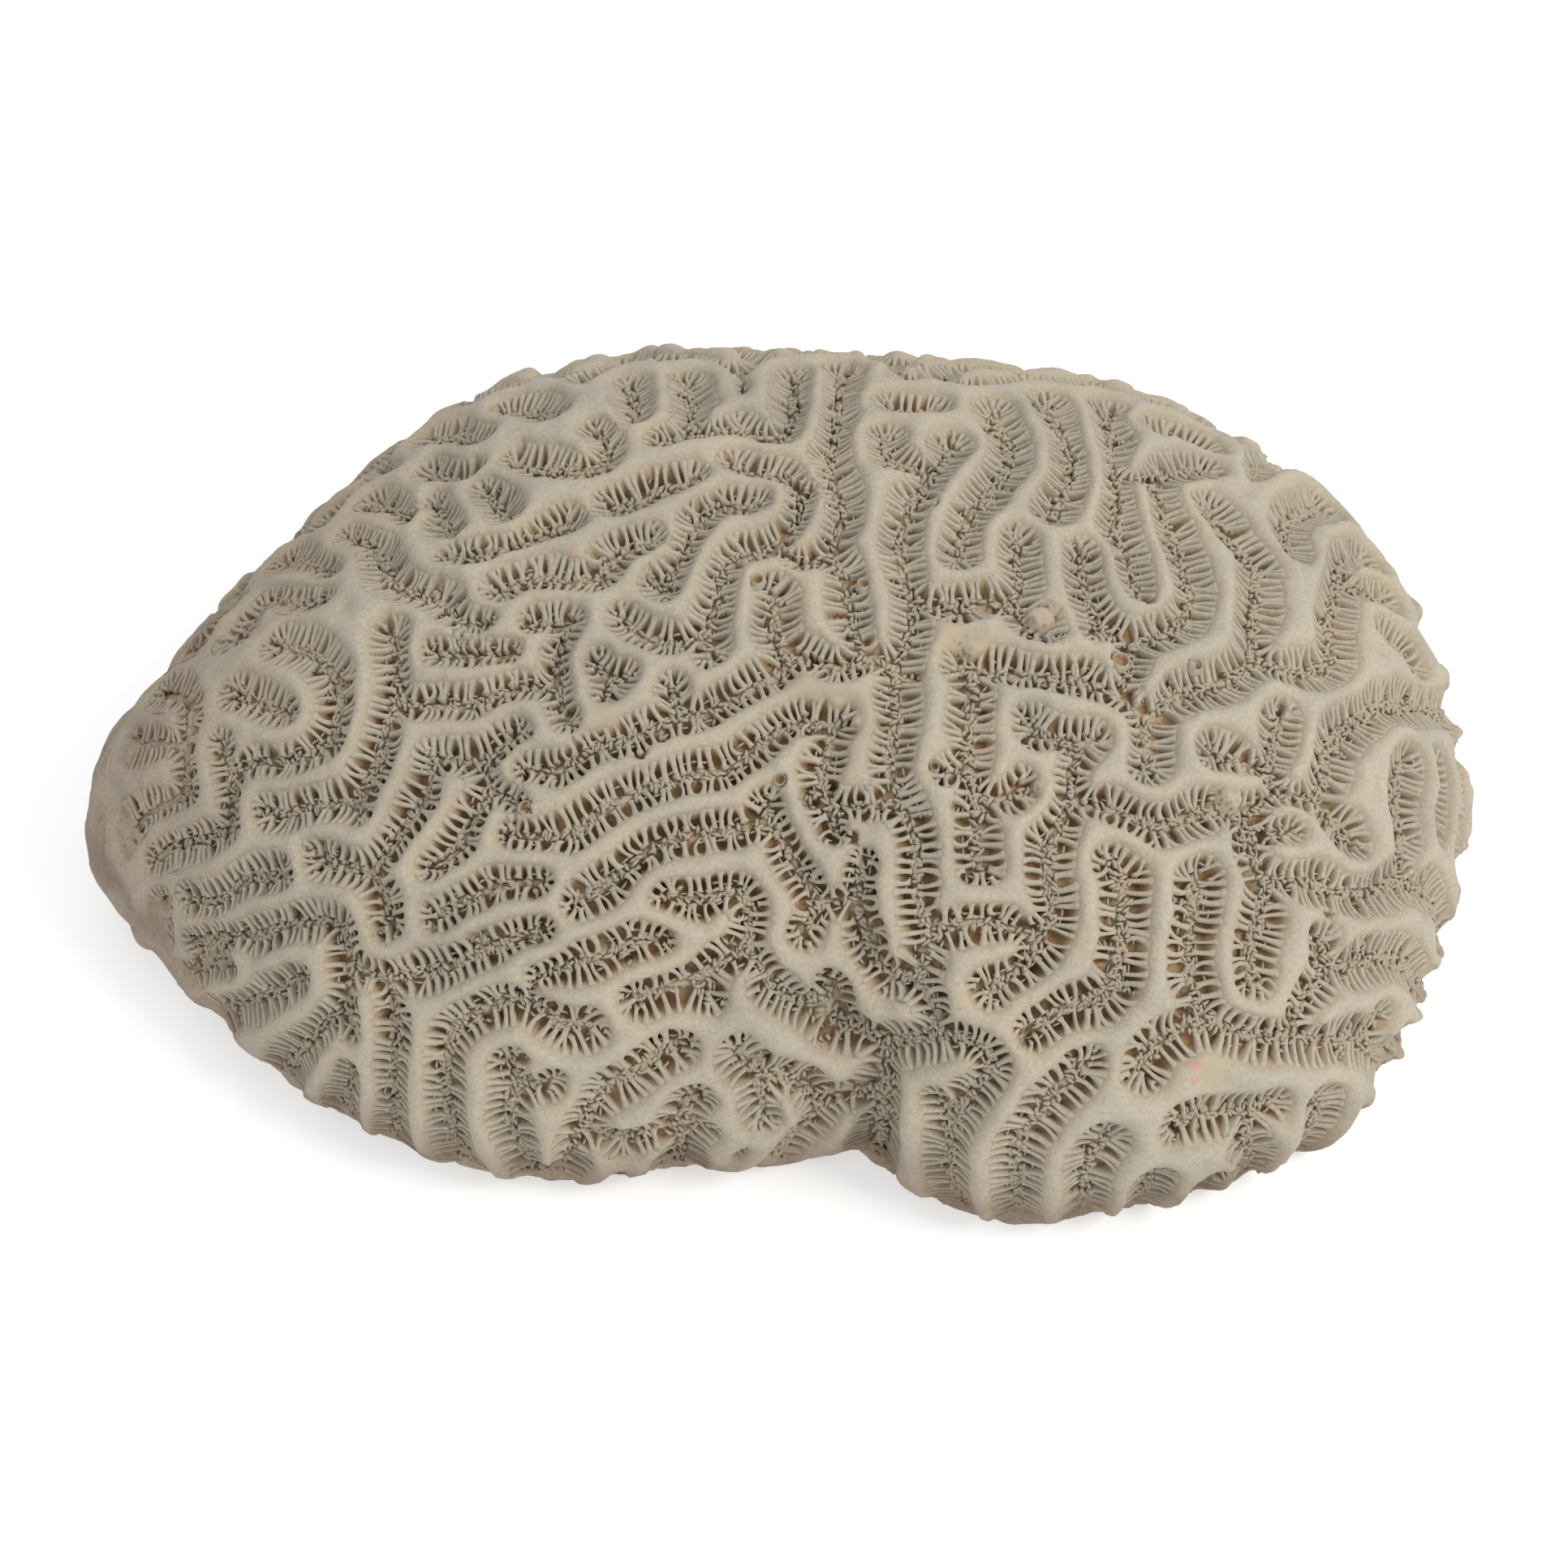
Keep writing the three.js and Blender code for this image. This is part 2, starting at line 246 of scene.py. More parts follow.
    [(-27.3, 32.5), (-25.3, 32.4), (-23.3, 32.4), (-21, 32.3), (-19, 32.8), (-18.2, 34.3), (-18.8, 36)],
    [(-15.5, 40.5), (-15.3, 38.8), (-15.6, 37)],
    [(-10, 41), (-9.8, 39), (-9.4, 37.2), (-9.3, 36)],
    [(-5, 32.3), (-3, 32), (-1, 31.5), (0.7, 31)],
    [(-30.7, 29.8), (-29.8, 28.5), (-28.7, 26.8)],
    [(-35.8, 28.5), (-35, 27), (-34, 25.3)],
    [(55.5, 28.6), (53.5, 28), (52, 27), (51.7, 25.3), (52.3, 23.8)],
    [(37.5, 36.3), (39.5, 36), (41.5, 35.2), (43, 34.5)],
    [(37, 30.8), (38.8, 31.6), (41, 32), (43, 32.3)],
    [(-8.5, -19.8), (-8.4, -21.4)],
    [(4.6, 5.7), (6.2, 6)],
    [(4.3, 23.4), (2.6, 22.8), (1.1, 22.6)],
    [(-22.5, 16.2), (-22.8, 14.6), (-23.5, 13)],
    [(-34, 17), (-32.4, 16.2), (-30.6, 16.3)],
    [(-51, 22.3), (-48.8, 22.2), (-46.6, 21)],
    [(-44.5, 24.8), (-42.6, 24.2), (-41.4, 22.6), (-40.6, 20.8), (-38.5, 19.5)],
    [(-42, 28.3), (-40, 27.8), (-38.5, 27)],
    [(-36, 31.5), (-34, 31), (-32.5, 31.2)],
    [(-36, 35.3), (-33.5, 35.8), (-31.5, 35.2)],
    [(-28.3, 38.2), (-26, 38.5), (-24, 37.7)],
    [(67.6, 7), (69, 7.2), (70.4, 7.5)],
    [(69.6, 3), (70.8, 3.1), (71.8, 3.2)],
    [(69, -8), (70.2, -9), (71.2, -9.8)],
    [(67, -15.2), (68.2, -15.8), (69, -16.2)],
    [(65.2, -21.6), (66.5, -21), (67.8, -20.5)],
    [(61.6, -28), (62.8, -27), (64.3, -26)],
    [(-10.5, -35.2), (-10.2, -33.6), (-9.6, -32.2)],
    [(48.6, -5.2), (50, -5.2), (51.6, -5)],
]

# Single marks, as (right, up, radius) in the same plane.
BORINGS = [
    (-0.5, 0.6, 0.55), (35.2, 13.3, 0.8), (43, 12.8, 0.7), (8.3, 21.3, 0.6), (-2.8, 21.5, 0.6),
    (15.7, 2.1, 0.42), (-27, -2.3, 0.65), (-57.8, -24.5, 0.6), (-59.3, -19.3, 0.5),
]
OPENINGS = [
    (37.8, 19.8, 1), (57, -13, 0.8), (-42.5, -15.5, 0.6), (-34.8, -18.3, 0.7), (2.8, 14, 0.9),
    (26, -18.7, 0.9), (-15, 3.5, 0.6), (-16.3, -18.3, 0.6), (41.3, -37, 0.8), (15.5, 29.7, 0.7),
    (7, -5.5, 0.6), (4.7, 0.4, 0.5), (2.7, -1.2, 0.6), (12, -22.5, 0.5), (9.3, -19.8, 0.5),
    (50.7, -4.8, 1),
]
WORN = [
    (-18.6, 7.7, 1.7), (-8.5, 11.3, 1.2), (27, 18, 1.5), (31.3, -15.5, 0.8), (31, -17.8, 0.8),
    (26.8, 0.2, 0.8), (1, 10.3, 1.3), (3, 10, 1.2), (5.5, 9.6, 1.3), (8, 9.3, 1.4), (8, 7, 1.1),
    (7.4, 4, 1), (6.8, 1.5, 0.9), (17, 16, 1.8), (20, 15.3, 1.5), (23, 15.8, 1.3), (47, -1, 1.3),
    (44.5, -30, 1.8),
]
STAINS = [
    (-25, 1, 0.5), (-18.5, 11.8, 0.45), (-32, 16, 0.4), (-5.8, 29.3, 0.5), (14.8, 32.5, 0.4),
    (14.6, 28.6, 0.4), (19.3, 28.3, 0.4), (12, 14.7, 0.4), (54, 23, 0.45), (23.8, -13.5, 0.45),
    (42.8, -29.2, 0.55), (42.5, -30.7, 0.5), (-22, 24.5, 0.4), (-28, 20.7, 0.4), (-1.5, 36.2, 0.4),
]

# The ground from a valley's middle out to a ridge's: (distance from the middle, height).
SECTION = [
    (0, -2.1), (0.35, -2.15), (0.6, -2.45), (0.85, -2.75), (1.9, -2.7), (2.15, -2.05), (2.3, -1.35),
    (2.42, -0.9), (2.6, -0.52), (2.85, -0.22), (3.1, -0.03), (3.5, 0.2), (4.4, 0.5),
]
STRIP = 0.6  # half the width of the spongy strip along a valley's middle

# Where the ridges fade into the smooth lower flank: (azimuth in degrees, height).
LOWER_EDGE = [
    (0, 1.2), (30, 3), (90, 6), (125, 9), (138, 13), (152, 18), (165, 20), (188, 20), (200, 14),
    (212, 8), (225, 4), (245, 4), (268, 4), (280, 2), (290, 0.8), (330, 0.7), (360, 1.2),
]

# A septum from its root under the ridge to its inner end, as (distance, half width, bevel).
# The distance is millimetres behind the ridge's edge where negative, and a share of the
# septum's length elsewhere.
SEPTUM = [
    (-0.4, 0.44, 0.03), (0, 0.38, 0.05), (0.08, 0.31, 0.1), (0.22, 0.25, 0.12), (0.5, 0.21, 0.12),
    (0.75, 0.22, 0.12), (0.9, 0.27, 0.1), (1, 0.38, 0.1),
]
ROOT_DEPTH = [0.62, 0.8]  # a septum's top below the ridge, at the first two of these distances
FALL = 1.3  # how far a septum's top drops over FALL_LENGTH on its way to the middle
FALL_LENGTH = 2.2
SEPTUM_FOOT = 4.8  # how far down a septum reaches, so that it always ends in the ground
PITCH = 0.88  # from one septum to the next

# How much the septa differ from each other. The first four are standard deviations.
SWING = 0.16  # sideways, over a length of 1
BOW = 0.09  # how far they curve aside
RAISED = 0.12  # their inner ends
WIDER = 0.16  # as a share of their widths
SHORTER = 0.14  # at most, as a share of their lengths
LEFT_OUT = 0.02  # the share of them that is missing

# The rods. A pair is the least value, and how much more the greatest one is.
STRUT_SHARE = 0.5  # of the places on the strips that have one
STRUT_DEPTH = (1.7, 0.25)
STRUT_REACH = (0.28, 0.26)  # half its length
STRUT_THICK = (0.2, 0.08)
BRIDGE_SHARE = 0.45  # of the septa that have one
BRIDGE_PLACE = (0.45, 0.45)  # as a share of its septum's length
BRIDGE_DEPTH = 1.1
BRIDGE_REACH = 0.6 * PITCH
BRIDGE_THICK = (0.11, 0.05)

# Noises that shape the ground, each as (height, size, seed).
RAGGED = [(0.13, 1, 12)]  # moves the whole section in and out
FLOOR_NOISE = [(0.5, 1.4, 3)]
STRIP_NOISE = [(0.15, 2.5, 9), (0.2, 0.8, 4)]
RIDGE_NOISE = [(0.26, 5, 5), (0.1, 1.7, 6)]
LUMPS = [(0.8, 4.4, 7), (0.4, 1.9, 8)]  # all there is where the relief is gone
GAP_HEIGHT = -2  # of the floor where there is no septum near
WORN_HEIGHTS = (-0.7, -0.1)  # lowest and highest
OPENING_DEPTH = 1.5

# A boring from outside its lip to the middle of its floor: (share of radius, height, painted shade).
BORING = [
    (1.3, -1, 0), (1.06, -0.05, 0), (1, -0.02, 0.2), (0.93, -0.15, 1), (0.86, -0.7, 2.3),
    (0.4, -0.8, 2.2), (0.02, -0.78, 2.2),
]

# Across x, septa_left ends at the first of these and septa_right starts at the second.
SEPTA_SPLIT = (-17, 20)

# What the material reads at each point, from 0 up: painted shade by depth, painted shade of the
# pores on the spongy strips, how stained and worn it is, and painted shade low down and at the left end.
SHADING = ("painted_shade", "pore_shade", "stain", "worn", "foot_and_left_shade")


# ---- grids ----


def to_arrays(mesh):
    points = np.empty(len(mesh.vertices) * 3)
    mesh.vertices.foreach_get("co", points)
    corners = np.empty(len(mesh.loops), np.int32)
    mesh.loops.foreach_get("vertex_index", corners)
    return points.reshape(-1, 3), corners.reshape(-1, 4)


def remeshed(source, step):
    """The CAD solid's surface as an even grid of quads, step millimetres wide."""
    copy = source.copy()
    copy.data = source.data.copy()
    copy.data.transform(Matrix.Scale(1 / MM, 4))
    copy.parent = None
    bpy.context.scene.collection.objects.link(copy)
    grid = copy.modifiers.new("grid", "REMESH")
    grid.mode = "VOXEL"
    grid.voxel_size = step
    depsgraph = bpy.context.evaluated_depsgraph_get()
    mesh = bpy.data.meshes.new_from_object(copy.evaluated_get(depsgraph))
    points, quads = to_arrays(mesh)
    bpy.data.objects.remove(copy)
    bpy.data.meshes.remove(mesh)
    return points, quads


def sides_of(quads):
    return np.concatenate([quads[:, [k, (k + 1) % 4]] for k in range(4)])


def edges_of(quads):
    return np.unique(np.sort(sides_of(quads), axis=1), axis=0)


def halves_of(quads):
    return np.concatenate([quads[:, [0, 1, 2]], quads[:, [0, 2, 3]]])


def spread(values, edges, rounds, share=0.5, held=None):
    """Values evened out between neighbours, as many times over as rounds."""
    a, b = edges.T
    count = np.bincount(a, minlength=len(values)) + np.bincount(b, minlength=len(values))
    flat = values.reshape(len(values), -1).copy()
    for _ in range(rounds):
        for k in range(flat.shape[1]):
            column = flat[:, k]
            around = np.bincount(a, column[b], len(column)) + np.bincount(b, column[a], len(column))
            change = share * (around / count - column)
            flat[:, k] = column + (change if held is None else np.where(held, 0, change))
    return flat.reshape(values.shape)


def unit(vectors):
    return vectors / np.maximum(np.linalg.norm(vectors, axis=-1, keepdims=True), 1e-9)


def normals_of(points, triangles):
    a, b, c = (points[triangles[:, k]] for k in range(3))
    faces = np.cross(b - a, c - a)
    total = np.zeros_like(points)
    for k in range(3):
        for axis in range(3):
            total[:, axis] += np.bincount(triangles[:, k], faces[:, axis], len(points))
    return unit(total)


def noise(points, size, seed):
    """Smooth noise from -1 to 1 that turns over about once in size millimetres."""
    place = points / size
    cell = np.floor(place).astype(np.int64)
    f = place - cell
    f = f * f * (3 - 2 * f)
    total = np.zeros(len(points))
    for corner in range(8):
        step = np.array([corner & 1, corner >> 1 & 1, corner >> 2 & 1])
        key = (cell + step) @ np.array([73856093, 19349663, 83492791]) + seed * 26544357
        key = (key ^ key >> 13) * 1274126177 & 0xFFFFFFFF
        key = (key ^ key >> 15) * 2246822519 & 0xFFFFFFFF
        weight = np.prod(np.where(step, f, 1 - f), axis=1)
        total += weight * ((key ^ key >> 16) & 0xFFFFFF)
    return total / 0x7FFFFF - 1


def noises(points, waves):
    """The sum of noises given as (height, size, seed)."""
    return sum(height * noise(points, size, seed) for height, size, seed in waves)


def smoothstep(x, low, high):
    t = np.clip((x - low) / (high - low), 0, 1)
    return t * t * (3 - 2 * t)


def tree_of(points):
    tree = KDTree(len(points))
    for i, p in enumerate(points):
        tree.insert(p, i)
    tree.balance()
    return tree


def distance_to(points, tree):
    return np.array([tree.find(p)[2] for p in points])


# ---- the valleys' middles, laid on the dome ----


def view_axes():
    tilt = math.radians(ELEVATION)
    right = np.array([1.0, 0, 0])
    up = np.array([0, math.sin(tilt), math.cos(tilt)])
    back = np.array([0, -math.cos(tilt), math.sin(tilt)])
    return right, up, back


def rounded_line(line, step=0.3):
    """A smooth curve through the line's points, as closely spaced points."""
    p = np.array(line, float)
    p = np.concatenate([[2 * p[0] - p[1]], p, [2 * p[-1] - p[-2]]])
    out = []
    for i in range(1, len(p) - 2):
        n = max(2, int(np.linalg.norm(p[i + 1] - p[i]) / step))
        t = np.arange(n)[:, None] / n
        slope = (p[i + 1] - p[i - 1]) * t
        bend = (2 * p[i - 1] - 5 * p[i] + 4 * p[i + 1] - p[i + 2]) * t**2
        twist = (3 * p[i] - p[i - 1] - 3 * p[i + 1] + p[i + 2]) * t**3
        out.append(0.5 * (2 * p[i] + slope + bend + twist))
    out.append(p[-2:-1])
    return np.concatenate(out)


def onto_dome(flat, surface, sunk):
    """Points of the drawing plane, put on the dome. sunk is how deep the drawn thing lies."""
    right, up, back = view_axes()
    eye = TARGET + back * DISTANCE
    found = []
    for u, v in flat:
        ray = Vector(TARGET + right * u + up * v - eye).normalized()
        place, normal, _, _ = surface.ray_cast(Vector(eye), ray)
        if place is None:
            continue
        facing = max(0.3, -ray.dot(normal))
        shifted = place + ray * (sunk / facing) + normal * sunk
        found.append(surface.find_nearest(shifted)[0])
    return np.array(found).reshape(-1, 3)


def marked(marks, surface):
    """The marks' places on the dome, with their radii."""
    return [(onto_dome([(u, v)], surface, 0)[0], radius) for u, v, radius in marks]


def closeness(points, spots):
    """1 inside any of the spots and 0 well outside them all."""
    total = np.zeros(len(points))
    for place, radius in spots:
        away = np.linalg.norm(points - place, axis=1)
        total = np.maximum(total, 1 - smoothstep(away, 0.7 * radius, 1.2 * radius))
    return total


def run_on(line, surface):
    """The line, carried on under the rim where it ends just above it."""
    for _ in range(2):
        line = line[::-1]
        here, heading = line[-1], unit(line[-1] - line[-4])
        if here[2] > 14 or heading[2] > -0.1:
            continue
        added = []
        while here[2] > 0.5 and len(added) < 40:
            ahead = np.array(surface.find_nearest(Vector(here + 0.3 * heading))[0])
            heading = unit(ahead - here)
            here = ahead
            added.append(here)
        line = np.concatenate([line, np.array(added)])
    return line


def drawn_middles(surface):
    lines = [onto_dome(rounded_line(line), surface, SEEN_DEPTH) for line in VALLEYS]
    return np.concatenate([run_on(line, surface) for line in lines if len(line) > 4])


# ---- growth of the pattern where nothing was drawn ----


def laplacian(points, triangles):
    """A function that gives the surface Laplacian of values at the points, and its bound."""
    count = len(points)
    starts, ends, weights = [], [], []
    area = np.zeros(count)
    for k in range(3):
        i, j, o = (triangles[:, (k + n) % 3] for n in range(3))
        a, b = points[i] - points[o], points[j] - points[o]
        cross = np.linalg.norm(np.cross(a, b), axis=1)
        starts.append(np.minimum(i, j))
        ends.append(np.maximum(i, j))
        weights.append(0.5 * (a * b).sum(axis=1) / np.maximum(cross, 1e-6))
        area += np.bincount(i, cross / 6, count)
    key = np.concatenate(starts) * count + np.concatenate(ends)
    key, where = np.unique(key, return_inverse=True)
    weight = np.clip(np.bincount(where, np.concatenate(weights)), 0.05, 2.5)
    a, b = key // count, key % count
    area = np.maximum(area, 0.7 * area.mean())
    bound = 2 * ((np.bincount(a, weight, count) + np.bincount(b, weight, count)) / area).max()

    def apply(values):
        flow = weight * (values[b] - values[a])
        return (np.bincount(a, flow, count) - np.bincount(b, flow, count)) / area

    return apply, bound


def grown(points, triangles, middles, rounds=60):
    """Winding stripes, +1 on ridges and -1 in valleys, that join on to the drawn valleys."""
    apply, bound = laplacian(points, triangles)
    step = 1.7 / bound
    blur_time = 2.1 * (PERIOD / (2 * math.pi)) ** 2 / 4  # heat time of the narrower blur
    blur_steps = max(1, round(blur_time / step))
    away = distance_to(points, middles)
    wanted = -np.cos(math.pi * np.minimum(away / HALF, 1))
    pull = 1 - smoothstep(away, HALF, 1.5 * HALF)
    state = RANDOM.standard_normal(len(points))
    for _ in range(rounds):
        for _ in range(blur_steps):
            state = state + step * apply(state)
        wide = state
        for _ in range(2 * blur_steps):
            wide = wide + step * apply(wide)
        band = (state - wide) / 0.45
        state = np.tanh(3 * band)
        state += pull * (wanted - state)
    return np.clip(band, -1, 1)


def crests(points, edges, drawn, stripes, away):
    """Places along the middles of the ridges."""
    tree = tree_of(drawn)
    nearest = np.array([tree.find(p)[1] for p in points])
    a, b = edges.T
    first, second = drawn[nearest[a]], drawn[nearest[b]]
    apart = np.linalg.norm(first - second, axis=1)
    from_a = np.linalg.norm(points[a] - second, axis=1) - np.linalg.norm(points[a] - first, axis=1)
    from_b = np.linalg.norm(points[b] - first, axis=1) - np.linalg.norm(points[b] - second, axis=1)
    t = (from_a / np.maximum(from_a + from_b, 1e-9))[:, None]
    between = points[a] * (1 - t) + points[b] * t
    far = np.minimum(away[a], away[b])
    chosen = (apart > 3.1) & (far > 1.5) & (far < 5.5)
    grown_ones = points[(away > 4.2) & (stripes > 0.93)]
    return np.concatenate([between[chosen], grown_ones])


def stripes_at(points, away, coarse, stripes):
    """The coarse grid's stripes at the points, and 1 next to the drawn middles."""
    tree = tree_of(coarse)
    free = np.ones(len(points))
    for i in np.nonzero(away > 0.8 * HALF)[0]:
        near = tree.find_n(points[i], 4)
        weight = np.array([1 / (n[2] + 0.05) for n in near])
        free[i] = weight @ stripes[[n[1] for n in near]] / weight.sum()
    return free


def pattern(fine, edges, coarse, coarse_triangles, drawn):
    """How far each fine point is from the middle of its valley.

    It is stretched so that every valley's edge, wide or narrow, is at SHOULDER.
    """
    middles = tree_of(drawn)
    stripes = grown(coarse, coarse_triangles, middles)
    away = distance_to(fine, middles)
    undrawn = smoothstep(away, HALF, 1.5 * HALF)
    free = stripes_at(fine, away, coarse, stripes)
    middle = (1 - undrawn) * away + undrawn * HALF * np.arccos(-free) / math.pi
    crest = distance_to(fine, tree_of(crests(fine, edges, drawn, free, away)))
    half = spread(middle + crest, edges, 12)
    edge = np.minimum(VALLEY_SHARE * half, half - LEAST_RIDGE)
    edge = np.clip(edge, LEAST_VALLEY, MOST_VALLEY)
    edge = edge * (1 + 0.11 * noise(fine, 3, 1))
    stretched = np.where(middle < edge, middle / edge * SHOULDER, middle - edge + SHOULDER)
    soft = spread(stretched, edges, 6)
    outer = smoothstep(stretched, 0.8, 1.6)
    return (1 - outer) * stretched + outer * soft


# ---- the ground ----


def standing(points):
    """0 on the smooth lower flank and 1 above it."""
    azimuth = np.degrees(np.arctan2(points[:, 1], points[:, 0])) % 360
    edge = np.interp(azimuth, *np.array(LOWER_EDGE).T) + 0.8 * noise(points, 7, 2)
    return smoothstep(points[:, 2], 0.75 * edge - 0.6, 1.25 * edge + 1.2)


def rubbed(points):
    """1 at the left end, where the ridges are rubbed down, and 0 from the middle on."""
    return smoothstep(-points[:, 0] + 0.35 * points[:, 1], 36, 66)


def relief(points):
    """The share of their full height that the ridges and valleys have."""
    share = (0.28 + 0.72 * standing(points)) * (1 - 0.64 * rubbed(points))
    return smoothstep(points[:, 2], 0, 1.2) * share


def foot_and_left_shade(points):
    """How much painted shade darkens the skeleton, mostly low down and at the left end."""
    low = 1 - smoothstep(points[:, 2], 2, 13)
    return np.maximum(np.maximum(1 - standing(points), low), 0.7 * rubbed(points))


def ground(points, middle, gaps, spots):
    """The skeleton's height over the dome, without its septa.

    gaps is 1 on those parts of the valleys' floors that lie too far from any septum.
    """
    ragged = middle + noises(points, RAGGED)
    section = np.interp(ragged, *np.array(SECTION).T)
    low = smoothstep(middle, STRIP, 0.9) * (1 - smoothstep(middle, 1.9, 2.3))
    section = section + low * noises(points, FLOOR_NOISE)
    section = section + gaps * (GAP_HEIGHT - section)
    strip = 1 - smoothstep(middle, STRIP, STRIP + 0.3)
    section = section + strip * noises(points, STRIP_NOISE)
    ridge = smoothstep(middle, 2.6, 3.1)
    section = section + ridge * noises(points, RIDGE_NOISE)
    lumps = noises(points, LUMPS) - 0.1
    full = relief(points)
    height = full * section + (1 - full) * lumps
    height += closeness(points, spots["worn"]) * (np.clip(height, *WORN_HEIGHTS) - height)
    height -= OPENING_DEPTH * closeness(points, spots["opening"])
    return height


# ---- septa ----


def crossings(triangles, over):
    """The edges from points that are over to points that aren't, and which share a triangle."""
    count = len(over)
    keys = []
    for k in range(3):
        i, j = triangles[:, k], triangles[:, (k + 1) % 3]
        key = np.minimum(i, j).astype(np.int64) * count + np.maximum(i, j)
        keys.append(np.where(over[i] != over[j], key, -1))
    keys = np.stack(keys, axis=1)
    keys = keys[(keys >= 0).sum(axis=1) == 2]
    names, links = np.unique(keys[keys >= 0], return_inverse=True)
    return names // count, names % count, links.reshape(-1, 2)


def chained(links, count):
    """The numbers below count as chains, each number linked to the next."""
    beside = [[] for _ in range(count)]
    for i, j in links:
        beside[i].append(j)
        beside[j].append(i)
    done = np.zeros(count, bool)
    chains = []
    for start in range(count):
        chain = []
        onward = [] if done[start] else [start]
        while onward:
            chain.append(onward[0])
            done[onward[0]] = True
            onward = [n for n in beside[chain[-1]] if not done[n]]
        chains.append(chain)
    return chains


def contours(points, normals, triangles, values, level):
    """The closed lines where values pass level, as (points, normals) in order."""
    a, b, links = crossings(triangles, values > level)
    t = ((level - values[a]) / (values[b] - values[a]))[:, None]
    place = points[a] * (1 - t) + points[b] * t
    facing = unit(normals[a] * (1 - t) + normals[b] * t)
    return [(place[c], facing[c]) for c in chained(links, len(a)) if len(c) > 12]


def evened(loop, rounds=4):
    for _ in range(rounds):
        loop = 0.5 * loop + 0.25 * (np.roll(loop, 1, axis=0) + np.roll(loop, -1, axis=0))
    return loop


def pitch_at(points):
    """The septa are spaced a little wider on the front of the colony."""
    return PITCH * (1 + 0.18 * smoothstep(-points[:, 1], 18, 40))


def stations(run):
    """Places about a pitch apart round a closed loop, as fractional indices into it.

    run is the length of each of the loop's steps, in pitches.
    """
    along = np.concatenate([[0], np.cumsum(run)])
    n = max(4, int(round(along[-1])))
    wanted = (np.arange(n) + 0.36 * (RANDOM.random(n) - 0.5)) * along[-1] / n
    wanted = np.clip(wanted, 0, along[-1] - 1e-6)
    return np.interp(wanted, along, np.arange(len(along)))


def at(loop, index):
    low = np.floor(index).astype(int)
    t = (index - low)[:, None]
    n = len(loop)
    return loop[low % n] * (1 - t) + loop[(low + 1) % n] * t


def septa_starts(loops, tree, middle):
    """Where each septum leaves its ridge: (place, up, inwards, along, bend of the edge)."""
    rows = []
    for place, facing in loops:
        place, facing = evened(place), unit(evened(facing))
        along = unit(np.roll(place, -2, axis=0) - np.roll(place, 2, axis=0))
        inwards = unit(np.cross(facing, along))
        probe = [middle[tree.find(q)[1]] for q in (place + 0.7 * inwards)[::3]]
        if np.mean(np.array(probe) < SHOULDER) < 0.5:
            inwards = -inwards
        deeper = place + 1.3 * evened(inwards)
        run = np.linalg.norm(np.roll(place, -1, axis=0) - place, axis=1)
        deeper_run = np.linalg.norm(np.roll(deeper, -1, axis=0) - deeper, axis=1)
        index = stations(np.maximum(run, 0.8 * deeper_run) / pitch_at(place))
        ahead = unit(at(place, index + 4) - at(place, index + 2))
        behind = unit(at(place, index - 2) - at(place, index - 4))
        gap = np.linalg.norm(at(place, index + 3) - at(place, index - 3), axis=1)
        heading = unit(at(inwards, index))
        bend = ((ahead - behind) * heading).sum(axis=1) / np.maximum(gap, 0.5)
        placed = [at(place, index), unit(at(facing, index)), heading, unit(at(along, index))]
        rows.append(np.concatenate(placed + [bend[:, None]], axis=1))
    return rows


def reach(place, inwards, tree, middle):
    """How far it is from each start to the middle of its valley."""
    steps = np.arange(0.4, 3.6, 0.2)
    far = np.empty(len(place))
    for i, (p, m) in enumerate(zip(place, inwards)):
        best, last = steps[0], 9.0
        for s in steps:
            here = middle[tree.find(p + m * s)[1]]
            if here > last + 0.02:
                break
            best, last = s, here
        far[i] = best
    return far


def septa_plan(rows, tree, middle, full, bare):
    """The septa's starts, lengths and strengths, with some left out and crowded ones short."""
    plans = []
    for row in rows:
        p, inwards, bend = row[:, 0:3], row[:, 6:9], row[:, 12]
        length = reach(p, inwards, tree, middle) - 0.4
        odd = np.arange(len(row)) % 2 == 1
        room = np.where(odd, 0.5, 0.2)
        crowd = np.where(bend > 0.05, (1 - room / PITCH) / np.maximum(bend, 0.05), 9)
        length = np.minimum(length, crowd)
        length = np.clip(length, 0.5, 2.8) * (1 - SHORTER * RANDOM.random(len(row)))
        strong = np.array([full[tree.find(q)[1]] for q in p])
        halfway = p + inwards * (0.5 * length)[:, None]
        keep = (RANDOM.random(len(row)) > LEFT_OUT) & (strong > 0.35)
        keep &= closeness(halfway, bare) < 0.5
        plans.append(np.concatenate([row, length[:, None], strong[:, None]], axis=1)[keep])
    return np.concatenate(plans)


def axes_of(plan):
    """The septa's starts, and their directions up, inwards and along the ridge's edge."""
    return (plan[:, k : k + 3] for k in (0, 3, 6, 9))


def septa_gaps(points, middle, plan):
    """1 on the valleys' floors where there is no septum near, and 0 elsewhere."""
    p, _, inwards, _ = axes_of(plan)
    length = plan[:, 13:14]
    filled = tree_of(np.concatenate([p + inwards * length * t for t in (0, 0.35, 0.7, 1)]))
    gaps = np.zeros(len(points))
    low = np.nonzero((middle > STRIP) & (middle < 2.5))[0]
    gaps[low] = smoothstep(distance_to(points[low], filled), 0.54, 0.8)
    return gaps


def drop_at(s):
    """How far a septum's top has dropped, s millimetres from its start."""
    return FALL * (s / FALL_LENGTH) ** 0.9


